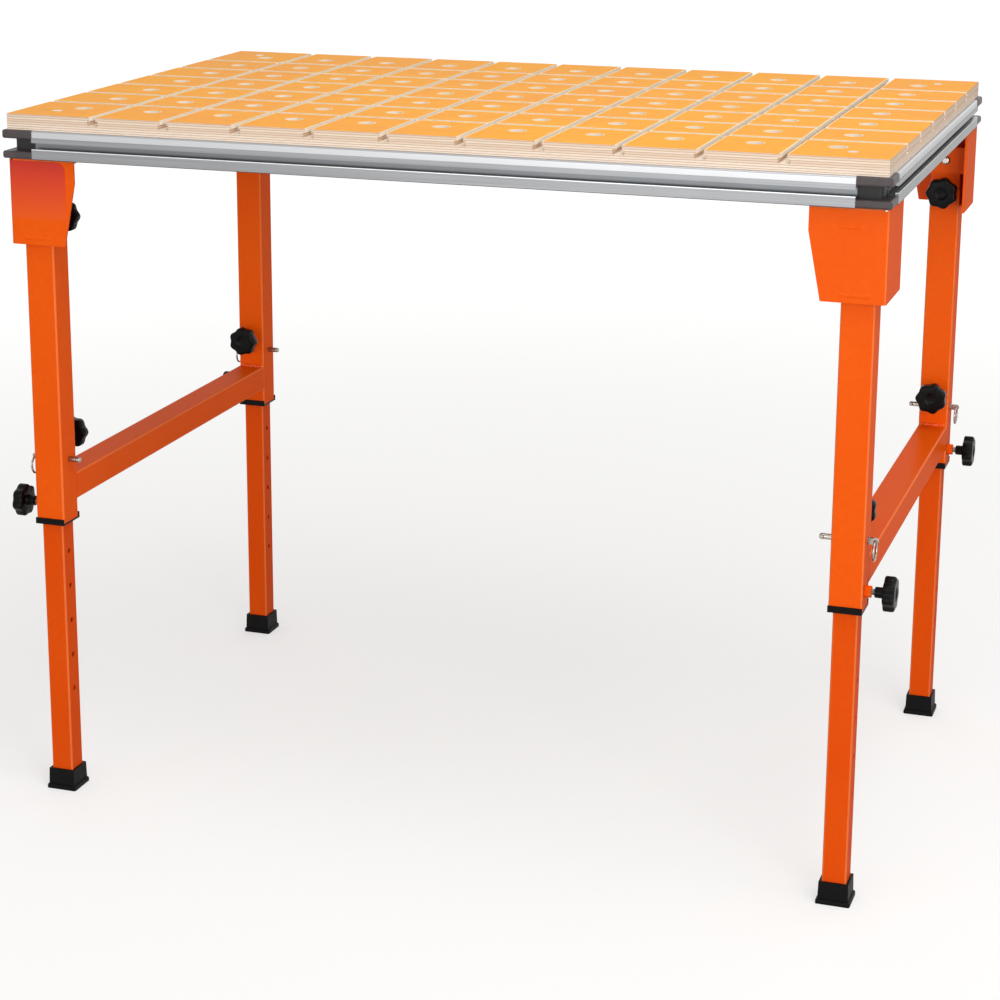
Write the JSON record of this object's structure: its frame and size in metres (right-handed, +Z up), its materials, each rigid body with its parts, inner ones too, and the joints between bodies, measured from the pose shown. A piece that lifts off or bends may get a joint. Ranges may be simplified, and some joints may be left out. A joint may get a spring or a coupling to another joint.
{
  "type": "folding work table",
  "caption": "Folding work table: a drilled and grooved plywood top, slotted edge rails, and telescopic legs with lock pins and star knobs on folding end frames.",
  "frame": {"origin": "the point on the floor under the middle of the board", "axes": "+X along the table, -Y towards the front, +Z up"},
  "size_m": [1.152, 0.729, 0.91],
  "materials": {
    "birch_ply": "film-faced top in orange, bare layered edges",
    "aluminium": "anodised, satin",
    "grey_plastic": "moulded, satin",
    "orange_paint": "semi-gloss powder coat",
    "black_plastic": "moulded, semi-gloss",
    "black_rubber": "matt",
    "plated_steel": "bright plated"
  },
  "bodies": {
    "table_top": {"worktop": "birch_ply", "rail_front": "aluminium", "rail_back": "aluminium", "rail_left": "aluminium", "rail_right": "aluminium", "corner_front_left": "grey_plastic", "corner_front_right": "grey_plastic", "corner_back_left": "grey_plastic", "corner_back_right": "grey_plastic", "top_screws": "plated_steel", "spacer_sleeves": "plated_steel", "top_nuts": "plated_steel", "bracket_bolts": "plated_steel", "nut_plates": "plated_steel", "pivot_bolts": "plated_steel", "pivot_nuts": "orange_paint", "bracket_front_left": "orange_paint", "bracket_front_right": "orange_paint", "bracket_back_left": "orange_paint", "bracket_back_right": "orange_paint"},
    "frame_left": {"upper_leg_front_left": "orange_paint", "upper_leg_back_left": "orange_paint", "crossbar_left": "orange_paint", "weld_nuts_left": "orange_paint", "collar_front_left": "black_plastic", "collar_back_left": "black_plastic"},
    "frame_right": {"upper_leg_front_right": "orange_paint", "upper_leg_back_right": "orange_paint", "crossbar_right": "orange_paint", "weld_nuts_right": "orange_paint", "collar_front_right": "black_plastic", "collar_back_right": "black_plastic"},
    "telescopic_leg_front_left": {"lower_leg_front_left": "orange_paint", "foot_front_left": "black_rubber"},
    "pin_front_left": {"lock_pin_front_left": "plated_steel"},
    "ring_front_left": {"pin_ring_front_left": "plated_steel"},
    "fold_clamp_front_left": {"fold_knob_front_left": "black_plastic"},
    "leg_clamp_front_left": {"leg_knob_front_left": "black_plastic"},
    "side_clamp_front_left": {"side_knob_front_left": "black_plastic"},
    "telescopic_leg_front_right": {"lower_leg_front_right": "orange_paint", "foot_front_right": "black_rubber"},
    "pin_front_right": {"lock_pin_front_right": "plated_steel"},
    "ring_front_right": {"pin_ring_front_right": "plated_steel"},
    "fold_clamp_front_right": {"fold_knob_front_right": "black_plastic"},
    "leg_clamp_front_right": {"leg_knob_front_right": "black_plastic"},
    "side_clamp_front_right": {"side_knob_front_right": "black_plastic"},
    "telescopic_leg_back_left": {"lower_leg_back_left": "orange_paint", "foot_back_left": "black_rubber"},
    "pin_back_left": {"lock_pin_back_left": "plated_steel"},
    "ring_back_left": {"pin_ring_back_left": "plated_steel"},
    "fold_clamp_back_left": {"fold_knob_back_left": "black_plastic"},
    "leg_clamp_back_left": {"leg_knob_back_left": "black_plastic"},
    "side_clamp_back_left": {"side_knob_back_left": "black_plastic"},
    "telescopic_leg_back_right": {"lower_leg_back_right": "orange_paint", "foot_back_right": "black_rubber"},
    "pin_back_right": {"lock_pin_back_right": "plated_steel"},
    "ring_back_right": {"pin_ring_back_right": "plated_steel"},
    "fold_clamp_back_right": {"fold_knob_back_right": "black_plastic"},
    "leg_clamp_back_right": {"leg_knob_back_right": "black_plastic"},
    "side_clamp_back_right": {"side_knob_back_right": "black_plastic"}
  },
  "joints": [
    {"name": "left_fold", "type": "hinge", "parent": "table_top", "child": "frame_left", "pos_m": [-0.52, 0, 0.8085], "axis": [0, -1, 0], "range_deg": [0, 90]},
    {"name": "right_fold", "type": "hinge", "parent": "table_top", "child": "frame_right", "pos_m": [0.52, 0, 0.8085], "axis": [0, 1, 0], "range_deg": [0, 84]},
    {"name": "leg_slide_front_left", "type": "slide", "parent": "frame_left", "child": "telescopic_leg_front_left", "axis": [0, 0, 1], "range_m": [-0.018, 0.27]},
    {"name": "pin_pull_front_left", "type": "slide", "parent": "frame_left", "child": "pin_front_left", "axis": [-1, 0, 0], "range_m": [0, 0.06]},
    {"name": "ring_swing_front_left", "type": "hinge", "parent": "pin_front_left", "child": "ring_front_left", "pos_m": [-0.5485, -0.326, 0.4575], "axis": [0, 1, 0], "range_deg": [0, 80]},
    {"name": "fold_knob_turn_front_left", "type": "hinge", "parent": "frame_left", "child": "fold_clamp_front_left", "pos_m": [-0.52, -0.326, 0.7674], "axis": [0, 1, 0], "range_deg": [0, 360]},
    {"name": "leg_knob_turn_front_left", "type": "hinge", "parent": "frame_left", "child": "leg_clamp_front_left", "pos_m": [-0.52, -0.326, 0.4795], "axis": [0, 1, 0], "range_deg": [0, 360]},
    {"name": "side_knob_turn_front_left", "type": "hinge", "parent": "frame_left", "child": "side_clamp_front_left", "pos_m": [-0.52, -0.326, 0.3955], "axis": [-1, 0, 0], "range_deg": [0, 360]},
    {"name": "leg_slide_front_right", "type": "slide", "parent": "frame_right", "child": "telescopic_leg_front_right", "axis": [0, 0, 1], "range_m": [-0.018, 0.27]},
    {"name": "pin_pull_front_right", "type": "slide", "parent": "frame_right", "child": "pin_front_right", "axis": [1, 0, 0], "range_m": [0, 0.06]},
    {"name": "ring_swing_front_right", "type": "hinge", "parent": "pin_front_right", "child": "ring_front_right", "pos_m": [0.5485, -0.326, 0.4575], "axis": [0, -1, 0], "range_deg": [0, 80]},
    {"name": "fold_knob_turn_front_right", "type": "hinge", "parent": "frame_right", "child": "fold_clamp_front_right", "pos_m": [0.52, -0.326, 0.7674], "axis": [0, 1, 0], "range_deg": [0, 360]},
    {"name": "leg_knob_turn_front_right", "type": "hinge", "parent": "frame_right", "child": "leg_clamp_front_right", "pos_m": [0.52, -0.326, 0.4795], "axis": [0, 1, 0], "range_deg": [0, 360]},
    {"name": "side_knob_turn_front_right", "type": "hinge", "parent": "frame_right", "child": "side_clamp_front_right", "pos_m": [0.52, -0.326, 0.3955], "axis": [1, 0, 0], "range_deg": [0, 360]},
    {"name": "leg_slide_back_left", "type": "slide", "parent": "frame_left", "child": "telescopic_leg_back_left", "axis": [0, 0, 1], "range_m": [-0.018, 0.27]},
    {"name": "pin_pull_back_left", "type": "slide", "parent": "frame_left", "child": "pin_back_left", "axis": [-1, 0, 0], "range_m": [0, 0.06]},
    {"name": "ring_swing_back_left", "type": "hinge", "parent": "pin_back_left", "child": "ring_back_left", "pos_m": [-0.5485, 0.326, 0.4575], "axis": [0, 1, 0], "range_deg": [0, 80]},
    {"name": "fold_knob_turn_back_left", "type": "hinge", "parent": "frame_left", "child": "fold_clamp_back_left", "pos_m": [-0.52, 0.326, 0.7674], "axis": [0, -1, 0], "range_deg": [0, 360]},
    {"name": "leg_knob_turn_back_left", "type": "hinge", "parent": "frame_left", "child": "leg_clamp_back_left", "pos_m": [-0.52, 0.326, 0.4795], "axis": [0, -1, 0], "range_deg": [0, 360]},
    {"name": "side_knob_turn_back_left", "type": "hinge", "parent": "frame_left", "child": "side_clamp_back_left", "pos_m": [-0.52, 0.326, 0.3955], "axis": [-1, 0, 0], "range_deg": [0, 360]},
    {"name": "leg_slide_back_right", "type": "slide", "parent": "frame_right", "child": "telescopic_leg_back_right", "axis": [0, 0, 1], "range_m": [-0.018, 0.27]},
    {"name": "pin_pull_back_right", "type": "slide", "parent": "frame_right", "child": "pin_back_right", "axis": [1, 0, 0], "range_m": [0, 0.06]},
    {"name": "ring_swing_back_right", "type": "hinge", "parent": "pin_back_right", "child": "ring_back_right", "pos_m": [0.5485, 0.326, 0.4575], "axis": [0, -1, 0], "range_deg": [0, 80]},
    {"name": "fold_knob_turn_back_right", "type": "hinge", "parent": "frame_right", "child": "fold_clamp_back_right", "pos_m": [0.52, 0.326, 0.7674], "axis": [0, -1, 0], "range_deg": [0, 360]},
    {"name": "leg_knob_turn_back_right", "type": "hinge", "parent": "frame_right", "child": "leg_clamp_back_right", "pos_m": [0.52, 0.326, 0.4795], "axis": [0, -1, 0], "range_deg": [0, 360]},
    {"name": "side_knob_turn_back_right", "type": "hinge", "parent": "frame_right", "child": "side_clamp_back_right", "pos_m": [0.52, 0.326, 0.3955], "axis": [1, 0, 0], "range_deg": [0, 360]}
  ]
}
